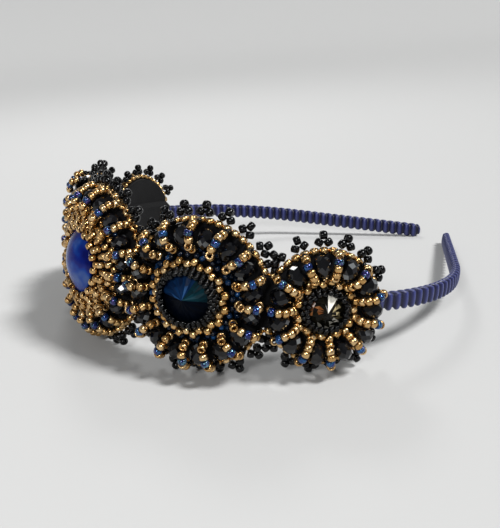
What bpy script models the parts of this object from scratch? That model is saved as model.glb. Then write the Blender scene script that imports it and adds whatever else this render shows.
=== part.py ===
"""Beaded headband: a cord-wrapped band that carries five round medallions of beadwork.

Units are metres, +Z is up, and the headband lies on the plane z = 0 as it rests by itself:
on the lower rims of its front medallions and on its two tips. The middle of the front faces -Y
and the two arms run back towards +Y. The origin is under the middle of the whole piece.

The parts are modelled in the band's own frame, where the band's middle line lies in the XY plane,
and an empty tilts that frame and lifts it onto the surface. The beadwork is laid out flat on the
felt base, in places (along, across, height), and then bent round the band.
"""
import bpy
import bmesh
from math import asin, atan2, copysign, cos, pi, radians, sin, sqrt
from mathutils import Matrix, Vector

# The band: a flat metal core wound with cord, seen from above as two arcs and a straight arm
BAND_WIDTH = 0.0056
BAND_THICKNESS = 0.0030
FRONT_ARC = {"length": 0.038, "radius": 0.0650}
SIDE_ARC = {"length": 0.106, "radius": 0.0592}
ARM_LENGTH = 0.052
BAND_STEP = 0.0058
BAND_EDGE_STEPS = 3
TIP_ROUNDING = [{"back": 0.0, "scale": 0.50}, {"back": 0.0007, "scale": 0.78}, {"back": 0.0018, "scale": 0.94}]

# How it lies: the front is held up by the medallions' rims and the arms slope down to the tips
REST_TILT = radians(9.456)
FRONT_HEIGHT = 0.025106
FRONT_Y = -0.06185

# The layers that hold the beadwork, and the gap between touching pieces
GAP = 0.0003
BASE_THICKNESS = 0.0016
LINING_THICKNESS = 0.0010
BASE_OFFSET = BAND_THICKNESS / 2 + GAP
BASE_FACE = BASE_OFFSET + BASE_THICKNESS
CHANNEL_HALF_WIDTH = BAND_WIDTH / 2 + 0.0005
CHANNEL_SLOPE = 0.0012
LINING_END_HALF_WIDTH = 0.0056

# The bead rows round the scalloped outline, as distances from the row's middle line
EDGE_ROW_RADIUS = 0.0010
EDGE_ROW_HEIGHT = -0.0005
BASE_INSET = -0.0013
PICOT_START = 0.0018
PICOT_VALLEY = 0.0027
PICOT_REACH = 0.0029
PICOT_LEAN = 0.0028
PICOT_VALLEY_LEAN = 0.0011
PICOT_THICKNESS = 0.0014
PICOT_PITCH = 0.0057
BASE_END_HALF_WIDTH = 0.0010
PICOT_END_HALF_WIDTH = 0.0052
ROW_STEP = 0.0040
VALLEY_RADIUS = 0.0022
LEAST_VALLEY_RADIUS = 0.0004

# The medallions, from the middle of the front outwards
CENTRE = {
    "along": 0.0, "edge": 0.0220, "stone": 0.0093, "girdle": 0.0068, "crown": 0.0034,
    "bezel": [(0.0098, 0.0080), (0.0142, 0.0071), (0.0148, 0.0062), (0.0148, GAP), (0.00965, GAP),
              (0.00965, 0.0072), (0.0092, 0.0076)],
    "collar": [(0.0151, GAP), (0.0151, 0.0066), (0.0154, 0.0068), (0.0159, 0.0058), (0.0159, GAP)],
    "spokes": 18, "first_spoke": 0.0, "spoke_top": 0.0068, "spoke_rise": 0.0160, "spoke_end": 0.0222,
    "facet_ring": 0.0188, "facet_bead": (0.0027, 0.0036),
}
INNER = {
    "along": 0.0391, "edge": 0.0199, "stone": 0.0070, "girdle": 0.0054, "crown": 0.0030,
    "bezel": [(0.0067, 0.0071), (0.0079, 0.0068), (0.0085, GAP), (0.00735, GAP), (0.00735, 0.0060),
              (0.0064, 0.0066)],
    "collar": [(0.0088, GAP), (0.0088, 0.0054), (0.0106, 0.0054), (0.0130, 0.0016), (0.0130, GAP)],
    "spokes": 16, "first_spoke": 0.0, "spoke_top": 0.0070, "spoke_rise": 0.0122, "spoke_end": 0.0195,
    "facet_ring": 0.0160, "facet_bead": (0.0029, 0.0038),
}
OUTER = {
    "along": 0.0715, "edge": 0.0152, "stone": 0.0050, "girdle": 0.0028, "crown": 0.0024,
    "bezel": [(0.0047, 0.0042), (0.0058, 0.0040), (0.0063, GAP), (0.00535, GAP), (0.00535, 0.0033),
              (0.0045, 0.0038)],
    "collar": [(0.0066, GAP), (0.0066, 0.0029), (0.0080, 0.0029), (0.0092, 0.0014), (0.0092, GAP)],
    "spokes": 11, "first_spoke": radians(18.2), "spoke_top": 0.0053, "spoke_rise": 0.0086, "spoke_end": 0.0152,
    "facet_ring": 0.0120, "facet_bead": (0.0029, 0.0042),
}
SPOKE_HALF_WIDTH = 0.00095
SPOKE_FOOT_HEIGHT = 0.0010
SHORT_SPOKE_FOOT_HEIGHT = 0.0047
SPOKE_FOOT_DEPTH = 0.0006
FACET_BEAD_FACE = 0.0013
FACET_BEAD_THREAD = 0.0004
FACET_BEAD_HEIGHT = 0.0031
STONE_FACETS = 16
STONE_TABLE_RADIUS = 0.0005
STONE_GIRDLE = 0.0004
STONE_CULET_HEIGHT = 0.0006
BEZEL_STEPS = 20

COLLECTION = "Beaded headband"
GUIDES = "Guides"


def clear_scene():
    for obj in list(bpy.data.objects):
        bpy.data.objects.remove(obj, do_unlink=True)


def new_collection(name):
    collection = bpy.data.collections.new(name)
    bpy.context.scene.collection.children.link(collection)
    return collection


def material(name, colour, roughness, metallic=0.0):
    made = bpy.data.materials.new(name)
    made.use_nodes = True
    shader = made.node_tree.nodes["Principled BSDF"]
    shader.inputs["Base Color"].default_value = (*colour, 1.0)
    shader.inputs["Roughness"].default_value = roughness
    shader.inputs["Metallic"].default_value = metallic
    return made


def band_stretches():
    """The band's middle line as (length, curvature), from the front to a tip."""
    yield FRONT_ARC["length"], 1 / FRONT_ARC["radius"]
    yield SIDE_ARC["length"], 1 / SIDE_ARC["radius"]
    yield ARM_LENGTH, 0.0


def band_length():
    return sum(length for length, _ in band_stretches())


def band_point(along):
    """Place (x, y) and heading of the band's middle line on its +X side."""
    x = y = heading = 0.0
    for length, curvature in band_stretches():
        step = min(along, length)
        turned = heading + curvature * step
        if curvature:
            x += (sin(turned) - sin(heading)) / curvature
            y += (cos(heading) - cos(turned)) / curvature
        else:
            x += cos(heading) * step
            y += sin(heading) * step
        heading = turned
        along -= step
        if along <= 0:
            break
    return x, y, heading


def base_to_band(along):
    """Distance along the band's middle line for a distance along the base's outer face."""
    done = 0.0
    for length, curvature in band_stretches():
        stretch = 1 + curvature * BASE_FACE
        if along <= length * stretch:
            return done + along / stretch
        along -= length * stretch
        done += length
    return done


def band_to_base(along):
    """Distance along the base's outer face for a distance along the band's middle line."""
    done = 0.0
    for length, curvature in band_stretches():
        step = min(along, length)
        done += step * (1 + curvature * BASE_FACE)
        along -= step
    return done


def bend(along, across, height):
    """A place on the flat layout, bent round the band. Heights count from the base's outer face."""
    side = -1 if along < 0 else 1
    x, y, heading = band_point(base_to_band(abs(along)))
    out = BASE_FACE + height
    return Vector((side * (x + sin(heading) * out), y - cos(heading) * out, across))


def medallion_frame(along):
    """The flat layout's axes at a medallion's middle, for what is too stiff to bend."""
    side = -1 if along < 0 else 1
    _, _, heading = band_point(base_to_band(abs(along)))
    tangent = Vector((cos(heading), side * sin(heading), 0))
    outward = Vector((side * sin(heading), -cos(heading), 0))
    frame = Matrix((tangent, (0, 0, 1), outward)).transposed().to_4x4()
    return Matrix.Translation(bend(along, 0, 0)) @ frame


def medallions():
    """Each medallion's name, sizes, and place along the base's outer face."""
    rows = [("centre", CENTRE, 0.0)]
    for side_name, side in (("left", -1), ("right", 1)):
        rows.append((side_name + "_inner", INNER, side * band_to_base(INNER["along"])))
        rows.append((side_name + "_outer", OUTER, side * band_to_base(OUTER["along"])))
    return rows


def discs(offset):
    """The joined discs from +X to -X as (place, radius), with the edge row's radius plus offset."""
    return sorted(((place, sizes["edge"] + offset) for _, sizes, place in medallions()), reverse=True)


def valley_centre(place, radius, other_place, other_radius, fillet):
    """Centre of the arc that rounds the valley between two discs."""
    distance = other_place - place
    reach = radius + fillet
    other_reach = other_radius + fillet
    along = (distance ** 2 + reach ** 2 - other_reach ** 2) / (2 * distance)
    return place + along, sqrt(reach ** 2 - along ** 2)


def rim_arcs(offset, end_half_width):
    """Upper outline of the joined discs from +X to -X: arcs of (centre, radius, start, stop).

    Discs and the valleys between them take turns, and end_half_width cuts the two ends flat.
    """
    row = discs(offset)
    fillet = max(VALLEY_RADIUS - offset, LEAST_VALLEY_RADIUS)
    valleys = [valley_centre(*here, *following, fillet) for here, following in zip(row, row[1:])]
    arcs = []
    for index, (place, radius) in enumerate(row):
        start = asin(end_half_width / radius)
        stop = pi - start
        if index > 0:
            x, y = valleys[index - 1]
            start = atan2(y, x - place)
        if index < len(valleys):
            x, y = valleys[index]
            stop = atan2(y, x - place)
        arcs.append(((place, 0), radius, start, stop))
        if index < len(valleys):
            next_place = row[index + 1][0]
            arcs.append(((x, y), fillet, atan2(-y, place - x), atan2(-y, next_place - x)))
    return arcs


def outline(offset, end_half_width, pitch, multiple=1, valley_steps=3):
    """Points (along, across) of the upper outline, in one list for each disc and each valley.

    A disc takes the same number of steps at every offset, and a valley leaves out its two ends.
    """
    stretches = []
    rows = zip(rim_arcs(offset, end_half_width), rim_arcs(0, end_half_width))
    for index, ((centre, radius, start, stop), (_, row_radius, row_start, row_stop)) in enumerate(rows):
        is_valley = index % 2 == 1
        row_length = row_radius * abs(row_stop - row_start)
        steps = valley_steps if is_valley else multiple * max(2, round(row_length / (multiple * pitch)))
        kept = range(1, steps) if is_valley else range(steps + 1)
        angles = [start + (stop - start) * step / steps for step in kept]
        stretches.append([(centre[0] + radius * cos(a), centre[1] + radius * sin(a)) for a in angles])
    return stretches


def whole_outline(offset, end_half_width, pitch):
    return [point for stretch in outline(offset, end_half_width, pitch) for point in stretch]


class Builder:
    """Makes the objects, in one collection and under one empty that lays the headband down."""

    def __init__(self):
        self.parts = new_collection(COLLECTION)
        self.guides = new_collection(GUIDES)
        self.rest = bpy.data.objects.new("rest_frame", None)
        self.rest.location = (0, FRONT_Y, FRONT_HEIGHT)
        self.rest.rotation_euler = (-REST_TILT, 0, 0)
        self.parts.objects.link(self.rest)

    def place(self, name, data, finish):
        obj = bpy.data.objects.new(name, data)
        obj.parent = self.rest
        data.materials.append(finish)
        self.parts.objects.link(obj)
        return obj

    def from_bmesh(self, name, bm, finish):
        bmesh.ops.recalc_face_normals(bm, faces=bm.faces)
        mesh = bpy.data.meshes.new(name)
        bm.to_mesh(mesh)
        bm.free()
        return self.place(name, mesh, finish)

    def tube(self, name, points, depth, resolution, finish, cyclic=False, scales=None):
        """A tube through points, with an optional scale of its radius at each point."""
        curve = bpy.data.curves.new(name, "CURVE")
        curve.dimensions = "3D"
        curve.bevel_depth = depth
        curve.bevel_resolution = resolution
        curve.use_fill_caps = not cyclic
        spline = curve.splines.new("POLY")
        spline.points.add(len(points) - 1)
        spline.use_cyclic_u = cyclic
        for index, point in enumerate(points):
            spline.points[index].co = (*point, 1)
            spline.points[index].radius = scales[index] if scales else 1.0
        return self.place(name, curve, finish)

    def turned(self, name, profile, steps, frame, finish, closed=False):
        """A profile of (radius, height), outer side running down, turned round the frame's Z."""
        mesh = bpy.data.meshes.new(name)
        edges = [(i, i + 1) for i in range(len(profile) - 1)]
        if closed:
            edges.append((len(profile) - 1, 0))
        mesh.from_pydata([(radius, 0, height) for radius, height in profile], edges, [])
        obj = self.place(name, mesh, finish)
        obj.matrix_local = frame
        screw = obj.modifiers.new("turn", "SCREW")
        screw.steps = steps
        screw.render_steps = steps
        screw.use_merge_vertices = True
        screw.merge_threshold = 0.00001
        screw.use_smooth_shade = closed
        return obj


def build_band(make, finish):
    """The wound band: a rounded flat bar swept along its middle line, with rounded tips."""
    stations = []
    for row in TIP_ROUNDING:
        stations.append((band_length() - row["back"], row["scale"]))
    last = band_length() - TIP_ROUNDING[-1]["back"]
    steps = round(2 * last / BAND_STEP)
    plain = [(last - 2 * last * step / steps, 1.0) for step in range(1, steps)]
    far_tip = [(-along, scale) for along, scale in reversed(stations)]
    points = []
    scales = []
    for along, scale in stations + plain + far_tip:
        x, y, _ = band_point(abs(along))
        points.append((-x if along < 0 else x, y, 0))
        scales.append(scale)
    obj = make.tube("wrapped_band", points, 0, 0, finish, scales=scales)
    obj.data.twist_mode = "Z_UP"
    obj.data.bevel_mode = "OBJECT"
    obj.data.bevel_object = band_section(make)
    return obj


def band_section(make):
    """Closed outline of the band's section: a flat bar with round edges."""
    curve = bpy.data.curves.new("band_section", "CURVE")
    spline = curve.splines.new("POLY")
    corner = BAND_THICKNESS / 2
    section = []
    for middle, turn in ((BAND_WIDTH / 2 - corner, pi), (corner - BAND_WIDTH / 2, 0)):
        for step in range(BAND_EDGE_STEPS + 1):
            angle = turn - pi * step / BAND_EDGE_STEPS
            section.append((corner * cos(angle), middle + corner * sin(angle)))
    spline.points.add(len(section) - 1)
    spline.use_cyclic_u = True
    for index, (x, y) in enumerate(section):
        spline.points[index].co = (x, y, 0, 1)
    obj = bpy.data.objects.new("band_section", curve)
    obj.hide_render = True
    obj.display_type = "WIRE"
    make.guides.objects.link(obj)
    return obj


def sheet(make, name, columns, thickness, offset, finish):
    """A sheet through columns of points, thickened by Solidify."""
    bm = bmesh.new()
    rows = [[bm.verts.new(point) for point in column] for column in columns]
    for left, right in zip(rows, rows[1:]):
        for i in range(len(left) - 1):
            bm.faces.new((left[i], left[i + 1], right[i + 1], right[i]))
    obj = make.from_bmesh(name, bm, finish)
    solid = obj.modifiers.new("thickness", "SOLIDIFY")
    solid.thickness = thickness
    solid.offset = offset
    solid.use_even_offset = False
    return obj


def build_base(make, finish):
    """The stiff felt that the beads are sewn to: five joined discs, bent round the band."""
    columns = [
        [bend(along, -across, -BASE_THICKNESS / 2), bend(along, across, -BASE_THICKNESS / 2)]
        for along, across in whole_outline(BASE_INSET, BASE_END_HALF_WIDTH, ROW_STEP)
    ]
    return sheet(make, "embroidery_base", columns, BASE_THICKNESS, 0, finish)


def build_lining(make, finish):
    """The suede inside: flat against the base round the edge, and raised over the band."""
    middle = LINING_THICKNESS / 2
    edge_height = -BASE_THICKNESS - GAP - middle
    channel_height = -BASE_FACE - BAND_THICKNESS / 2 - GAP - middle
    columns = []
    for along, across in whole_outline(BASE_INSET, LINING_END_HALF_WIDTH, ROW_STEP):
        inner = CHANNEL_HALF_WIDTH
        outer = CHANNEL_HALF_WIDTH + CHANNEL_SLOPE
        upper = [(inner, channel_height), (outer, edge_height), (across, edge_height)]
        lower = [(-w, height) for w, height in reversed(upper)]
        columns.append([bend(along, w, height) for w, height in lower + upper])
    return sheet(make, "suede_lining", columns, LINING_THICKNESS, 0, finish)


def build_edge_row(make, name, side, finish):
    """The tube of the gold row along the upper or lower outline."""
    row = whole_outline(0, EDGE_ROW_RADIUS + GAP, ROW_STEP)
    points = [bend(along, side * across, EDGE_ROW_HEIGHT) for along, across in row]
    make.tube(name, points, EDGE_ROW_RADIUS, 1, finish)


def build_picots(make, name, side, finish):
    """The pointed edging outside the gold row, which leans back from it."""
    offsets = (PICOT_START, PICOT_VALLEY, PICOT_REACH)
    lines = [outline(offset, PICOT_END_HALF_WIDTH, PICOT_PITCH / 2, 2, 1) for offset in offsets]
    columns = []
    for roots, valleys, peaks in zip(*lines):
        for step, (along, across) in enumerate(roots):
            is_peak = step % 2 == 1
            out_along, out_across = peaks[step] if is_peak else valleys[step]
            lean = PICOT_LEAN if is_peak else PICOT_VALLEY_LEAN
            columns.append([
                bend(along, side * across, EDGE_ROW_HEIGHT),
                bend(out_along, side * out_across, EDGE_ROW_HEIGHT - lean),
            ])
    sheet(make, name, columns, PICOT_THICKNESS, 0, finish)


def build_stone(make, name, sizes, frame, finish):
    """A pointed round stone: small table, sixteen crown facets, girdle and pavilion."""
    girdle = sizes["girdle"]
    profile = [
        (0, girdle + sizes["crown"]),
        (STONE_TABLE_RADIUS, girdle + sizes["crown"]),
        (sizes["stone"], girdle + STONE_GIRDLE / 2),
        (sizes["stone"], girdle - STONE_GIRDLE / 2),
        (STONE_TABLE_RADIUS, STONE_CULET_HEIGHT),
        (0, STONE_CULET_HEIGHT),
    ]
    return make.turned(name, profile, STONE_FACETS, frame, finish)


def spoke_reach(sizes, place, angle):
    """How far a spoke goes out: less where it points at the next medallion."""
    reach = sizes["spoke_end"]
    for _, other, other_place in medallions():
        towards = other_place - place
        if towards * cos(angle) <= 0:
            continue
        own_rim = sizes["facet_ring"] + sizes["facet_bead"][0]
        other_rim = other["facet_ring"] + other["facet_bead"][0]
        border = own_rim + (abs(towards) - own_rim - other_rim) / 2
        corner = SPOKE_FOOT_DEPTH * abs(cos(angle)) + SPOKE_HALF_WIDTH * abs(sin(angle))
        reach = min(reach, (border - GAP / 2 - corner) / abs(cos(angle)))
    return reach


def spoke_path(sizes, reach):
    """The arch of one spoke, from its collar to its foot on the rim.

    Each section is (radius, height, slope, half depth). A spoke that meets the next medallion
    ends above the thread of the cut beads.
    """
    top = sizes["spoke_top"]
    rise = sizes["spoke_rise"]
    foot_height = SHORT_SPOKE_FOOT_HEIGHT if reach < sizes["spoke_end"] else SPOKE_FOOT_HEIGHT
    return [
        (rise, top - 0.0014, radians(75), SPOKE_HALF_WIDTH),
        (rise + 0.0014, top, radians(20), SPOKE_HALF_WIDTH),
        (reach - 0.0016, top - 0.0003, radians(-35), SPOKE_HALF_WIDTH),
        (reach, foot_height, radians(-90), SPOKE_FOOT_DEPTH),
    ]


def first_spoke(sizes, place):
    """Angle of a medallion's first spoke, mirrored on the -X side."""
    return pi - sizes["first_spoke"] if place < 0 else sizes["first_spoke"]


def build_spokes(make, name, sizes, place, finish):
    """A collar round the bezel with bead spokes that arch out from it, all in one piece."""
    bm = bmesh.new()
    count = sizes["spokes"]
    foot_radius = (sizes["collar"][2][0] + sizes["collar"][3][0]) / 2
    half_angle = asin(SPOKE_HALF_WIDTH / foot_radius)
    columns = []
    for index in range(count):
        middle = first_spoke(sizes, place) + 2 * pi * index / count
        for angle in (middle - half_angle, middle + half_angle):
            columns.append([bm.verts.new((r * cos(angle), r * sin(angle), z)) for r, z in sizes["collar"]])
    feet = []
    for index, column in enumerate(columns):
        following = columns[(index + 1) % len(columns)]
        for row in range(len(column)):
            upper = (row + 1) % len(column)
            face = bm.faces.new((column[row], following[row], following[upper], column[upper]))
            if row == 2 and index % 2 == 0:
                feet.append(face)
    for index, face in enumerate(feet):
        angle = first_spoke(sizes, place) + 2 * pi * index / count
        arch(bm, face, spoke_path(sizes, spoke_reach(sizes, place, angle)), angle)
    for vert in bm.verts:
        vert.co = bend(place + vert.co.x, vert.co.y, vert.co.z)
    return make.from_bmesh(name, bm, finish)


def arch(bm, face, path, angle):
    """Extrudes a face of the collar through the sections of one spoke."""
    turn = Matrix.Rotation(angle, 3, "Z")
    middle = turn.transposed() @ face.calc_center_median()
    above = Vector((-1, 0, 0))
    for radius, height, slope, half_depth in path:
        face = bmesh.ops.extrude_discrete_faces(bm, faces=[face])["faces"][0]
        next_middle = Vector((radius, 0, height))
        next_above = Vector((-sin(slope), 0, cos(slope)))
        for vert in face.verts:
            local = turn.transposed() @ vert.co - middle
            depth = copysign(half_depth, local.dot(above))
            side = copysign(SPOKE_HALF_WIDTH, local.y)
            vert.co = turn @ (next_middle + next_above * depth + Vector((0, side, 0)))
        middle = next_middle
        above = next_above


def build_facet_beads(make, name, sizes, place, finish):
    """A ring of cut rondelles on their thread, one between each two spokes."""
    bead_radius, bead_length = sizes["facet_bead"]
    ring = sizes["facet_ring"]
    half_face = bead_length / 2 / ring
    points = []
    scales = []
    for index in range(sizes["spokes"]):
        thread_angle = first_spoke(sizes, place) + 2 * pi * index / sizes["spokes"]
        bead_angle = thread_angle + pi / sizes["spokes"]
        section = [
            (thread_angle, FACET_BEAD_THREAD),
            (bead_angle - half_face, FACET_BEAD_FACE),
            (bead_angle, bead_radius),
            (bead_angle + half_face, FACET_BEAD_FACE),
        ]
        for angle, radius in section:
            points.append(bend(place + ring * cos(angle), ring * sin(angle), FACET_BEAD_HEIGHT))
            scales.append(radius / bead_radius)
    obj = make.tube(name, points, bead_radius, 2, finish, cyclic=True, scales=scales)
    obj.data.splines[0].use_smooth = False


def build_medallion(make, name, sizes, place, finishes):
    frame = medallion_frame(place)
    kind = name.split("_")[-1]
    build_stone(make, name + "_stone", sizes, frame, finishes[kind + "_stone"])
    bezel_finish = finishes["gold"] if kind == "centre" else finishes["jet"]
    make.turned(name + "_bezel", sizes["bezel"], BEZEL_STEPS, frame, bezel_finish, closed=True)
    build_spokes(make, name + "_bead_spokes", sizes, place, finishes["gold"])
    build_facet_beads(make, name + "_facet_beads", sizes, place, finishes["jet"])


def main():
    clear_scene()
    finishes = {
        "cord": material("cord", (0.020, 0.028, 0.130), 0.55),
        "felt": material("felt", (0.012, 0.012, 0.015), 0.95),
        "suede": material("suede", (0.022, 0.022, 0.026), 0.95),
        "gold": material("gold", (0.83, 0.58, 0.27), 0.28, 1.0),
        "jet": material("jet", (0.008, 0.008, 0.010), 0.08),
        "centre_stone": material("royal blue stone", (0.05, 0.14, 0.80), 0.12),
        "inner_stone": material("petrol blue stone", (0.01, 0.07, 0.16), 0.06),
        "outer_stone": material("smoke stone", (0.62, 0.50, 0.34), 0.05),
    }
    make = Builder()
    build_band(make, finishes["cord"])
    build_base(make, finishes["felt"])
    build_lining(make, finishes["suede"])
    for name, side in (("upper", 1), ("lower", -1)):
        build_edge_row(make, "edge_row_" + name, side, finishes["gold"])
        build_picots(make, "picots_" + name, side, finishes["jet"])
    for name, sizes, place in medallions():
        build_medallion(make, name, sizes, place, finishes)


main()
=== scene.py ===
"""Looks of the beaded headband: seed beads, cut stones, rondelles, wound cord, felt and suede.

Sizes are in metres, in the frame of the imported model. The beadwork is laid out flat, in places
(along, across, height) above the felt base, and bent round the band as in the model itself.
"""
import random
from math import asin, atan2, cos, degrees, hypot, pi, radians, sin, sqrt

import bmesh
import bpy
import numpy as np
from mathutils import Matrix, Vector


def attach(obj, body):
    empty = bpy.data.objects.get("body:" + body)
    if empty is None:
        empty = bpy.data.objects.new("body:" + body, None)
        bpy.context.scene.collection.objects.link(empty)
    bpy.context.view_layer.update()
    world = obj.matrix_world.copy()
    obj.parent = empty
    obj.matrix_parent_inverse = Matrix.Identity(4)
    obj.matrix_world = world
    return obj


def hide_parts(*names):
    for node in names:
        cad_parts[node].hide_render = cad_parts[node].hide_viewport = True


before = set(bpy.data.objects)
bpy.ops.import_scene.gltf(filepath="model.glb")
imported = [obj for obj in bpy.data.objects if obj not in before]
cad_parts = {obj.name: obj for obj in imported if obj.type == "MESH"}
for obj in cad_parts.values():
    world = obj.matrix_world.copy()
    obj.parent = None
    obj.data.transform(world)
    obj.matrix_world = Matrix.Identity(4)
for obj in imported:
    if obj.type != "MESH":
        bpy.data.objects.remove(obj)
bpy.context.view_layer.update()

random.seed(7)

# The band and the way it lies, as in the model. Its stretches are (length, curvature) from front to tip
BAND_WIDTH = 0.0056
BAND_THICKNESS = 0.0030
BAND_ARCS = [(0.038, 1 / 0.0650), (0.106, 1 / 0.0592), (0.052, 0.0)]
BAND_LENGTH = sum(length for length, _ in BAND_ARCS)
REST_TILT = radians(9.456)
FRONT_PLACE = Vector((0, -0.06185, 0.025106))
REST = Matrix.Translation(FRONT_PLACE) @ Matrix.Rotation(-REST_TILT, 4, "X")

# The felt base and the suede lining, which rises over the band in a channel and sags in slow waves, whose
# two rates are in radians per metre
GAP = 0.0003
BASE_THICKNESS = 0.0016
LINING_THICKNESS = 0.0010
BASE_FACE = BAND_THICKNESS / 2 + GAP + BASE_THICKNESS
CHANNEL_HALF_WIDTH = BAND_WIDTH / 2 + 0.0005
CHANNEL_SLOPE = 0.0012
CHANNEL_FLAT_SHARE = 0.6
CHANNEL_DIP = 0.0002
LINING_END_HALF_WIDTH = 0.0056
CLOTH_INSET = -0.0008
CLOTH_PITCH = 0.0012
FELT_ROWS = 12
LINING_ROWS = 5
SAG = 0.00006
SAG_WAVES = (900, 700)
SOFT_EDGE = 0.35

# The scalloped outline that the joined discs make, and a short way along the layout that shows a direction
VALLEY_RADIUS = 0.0022
LEAST_VALLEY_RADIUS = 0.0004
OUTLINE_STEP = 0.0002
NUDGE = 0.0005

# Seed beads as (radius, half length)
BEAD = (0.00123, 0.00083)
EDGE_BEAD = (0.00128, 0.00076)
PICOT_BEAD = (0.00120, 0.00098)
SMALL_BEAD = (0.00082, 0.00062)
BEAD_FULLNESS = 0.92

# How far sewn beads stray: shares of a direction, such a share per metre of stray place, and angles
# round a medallion
BEAD_WOBBLE = 0.10
EDGE_WOBBLE = 0.12
STRAY_TURN = 3000
ROUND_STRAY = 0.008
SPOKE_STRAY = 0.02
PETROL_STRAY = 0.03

# A small angle that shows which way a round goes, and a direction that no hole follows
ROUND_STEP = 0.02
SLANTED = Vector((0.31, 0.17, 0.93))

# The gold row round the outline, and the black picots of three beads outside it
EDGE_PITCH = 0.00252
EDGE_HEIGHT = -0.0005
EDGE_END_HALF_WIDTH = 0.0012
PICOT_PITCH = 0.0057
PICOT_END_HALF_WIDTH = 0.0052
PICOT_LEAN = radians(15)
PICOT_LEAN_STRAY = 0.10
PICOT_LEAN_STEP = 0.03
PICOT_BASE_REACH = 0.00210
PICOT_BASE_SPREAD = 0.00126
PICOT_TIP_REACH = 0.00400
PICOT_FLOOR_GAP = 0.00006

# The medallions, from the middle of the front outwards. A spoke is a string of beads, each with its colour
# (G gold, B blue, J small jet), distance from the middle, height, and the rise of its hole in degrees.
# A bezel round has its count, radius and height. The rounds of gold and petrol beads name their columns
CENTRE = {
    "along": 0.0, "edge": 0.0220, "stone": 0.0093, "girdle": 0.0068, "crown": 0.0034,
    "spokes": 18, "first_spoke": 0.0, "reach": 0.0224, "ring": 0.0188, "rondelle": (0.0027, 0.0037),
    "spoke": [("G", 0.0160, 0.0066, 27), ("G", 0.0177, 0.0071, 0), ("B", 0.0194, 0.0061, -33),
              ("G", 0.0207, 0.0048, -46), ("G", 0.0217, 0.0034, -62), ("G", 0.0222, 0.0018, -80)],
    "bezel": [],
    "gold_rounds": [
        {"count": 36, "radius": 0.01095, "height": 0.0072, "waver": 0.00065, "lift": -0.0001},
        {"count": 18, "radius": 0.0128, "height": 0.0066, "offset": 0.5},
        {"count": 18, "radius": 0.0125, "height": 0.0057},
        {"count": 36, "radius": 0.0142, "height": 0.0056, "slant": 0.1, "waver": 0.00062, "lift": -0.0003},
        {"count": 36, "radius": 0.0156, "height": 0.0038, "offset": 0.5, "slant": 0.2, "waver": 0.0003},
    ],
    "petrol_rounds": [
        {"count": 36, "radius": 0.0122, "height": 0.0050, "offset": 0.25, "waver": 0.0005},
        {"count": 36, "radius": 0.0161, "height": 0.0020, "waver": 0.0002},
    ],
    "petrol_fall": [],
}
INNER = {
    "along": 0.0391, "edge": 0.0199, "stone": 0.0070, "girdle": 0.0054, "crown": 0.0030,
    "spokes": 16, "first_spoke": 0.0, "reach": 0.0199, "ring": 0.0160, "rondelle": (0.0030, 0.0040),
    "spoke": [("G", 0.0128, 0.0045, 78), ("G", 0.0136, 0.0061, 62), ("G", 0.0157, 0.0071, 12),
              ("B", 0.0174, 0.0070, -14), ("G", 0.0188, 0.0061, -50), ("G", 0.0195, 0.0046, -74),
              ("J", 0.0197, 0.0031, -84), ("J", 0.0198, 0.0018, -90), ("J", 0.0198, 0.0006, -90)],
    "bezel": [(34, 0.0083, 0.0022), (34, 0.0083, 0.0035), (34, 0.0082, 0.0047),
              (34, 0.0079, 0.0058), (32, 0.0074, 0.0066), (30, 0.0067, 0.0070)],
    "gold_rounds": [
        {"count": 32, "radius": 0.0094, "height": 0.0053, "offset": 0.25, "slant": 0.35, "waver": 0.00046,
         "lift": 0.0001},
    ],
    "petrol_rounds": [],
    "petrol_fall": [
        {"turn": -0.08, "radius": 0.0112, "height": 0.0040},
        {"turn": 0.08, "radius": 0.0113, "height": 0.0038},
        {"turn": 0.0, "radius": 0.0122, "height": 0.0026},
        {"turn": -0.10, "radius": 0.0127, "height": 0.0016},
        {"turn": 0.11, "radius": 0.0127, "height": 0.0018},
    ],
}
OUTER = {
    "along": 0.0715, "edge": 0.0152, "stone": 0.0050, "girdle": 0.0028, "crown": 0.0024,
    "spokes": 11, "first_spoke": radians(18.2), "reach": 0.0153, "ring": 0.0120, "rondelle": (0.0030, 0.0043),
    "spoke": [("G", 0.0084, 0.0030, 74), ("G", 0.0090, 0.0045, 50), ("G", 0.0103, 0.0054, 20),
              ("G", 0.0119, 0.0056, 2), ("B", 0.0135, 0.0052, -16), ("G", 0.0150, 0.0040, -64),
              ("J", 0.0152, 0.0025, -84), ("J", 0.0152, 0.0012, -90)],
    "bezel": [(26, 0.0061, 0.0010), (26, 0.0060, 0.0022), (25, 0.0057, 0.0034), (23, 0.0050, 0.0041)],
    "gold_rounds": [
        {"count": 22, "radius": 0.0075, "height": 0.0029, "offset": 0.25, "slant": 0.45, "waver": 0.00038},
        {"count": 22, "radius": 0.0077, "height": 0.0011, "offset": 0.75},
    ],
    "petrol_rounds": [],
    "petrol_fall": [],
}
SPOKE_DISORDER = 0.0002
SPOKE_TILT = 6
SPOKE_FLOOR = 0.0004
PETROL_SLANT = {"turn": 0.03, "out": 0.0003}
BEZEL_LOOKS = {"slant": 0.15, "waver": 0.00012, "stray": 0.00013}

# Rondelles: the shares of a cut bead's radius and half length at its facets' corners
RONDELLE_HEIGHT = 0.0032
RONDELLE_BELT = 0.34
RONDELLE_SHOULDER = 0.84
RONDELLE_FACE = 0.72
RONDELLE_HOLE = 0.22

# The smooth middle stone, as shares of its radius and of its crown's height
DOME_PROFILE = [(0.0, 1.0), (0.12, 0.985), (0.30, 0.90), (0.50, 0.74), (0.68, 0.54), (0.84, 0.30),
                (0.95, 0.10), (1.0, 0.0)]
DOME_SIDES = 64
DOME_GIRDLE = 0.0005
DOME_BACK = {"share": 0.8, "depth": 0.0020}

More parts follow.
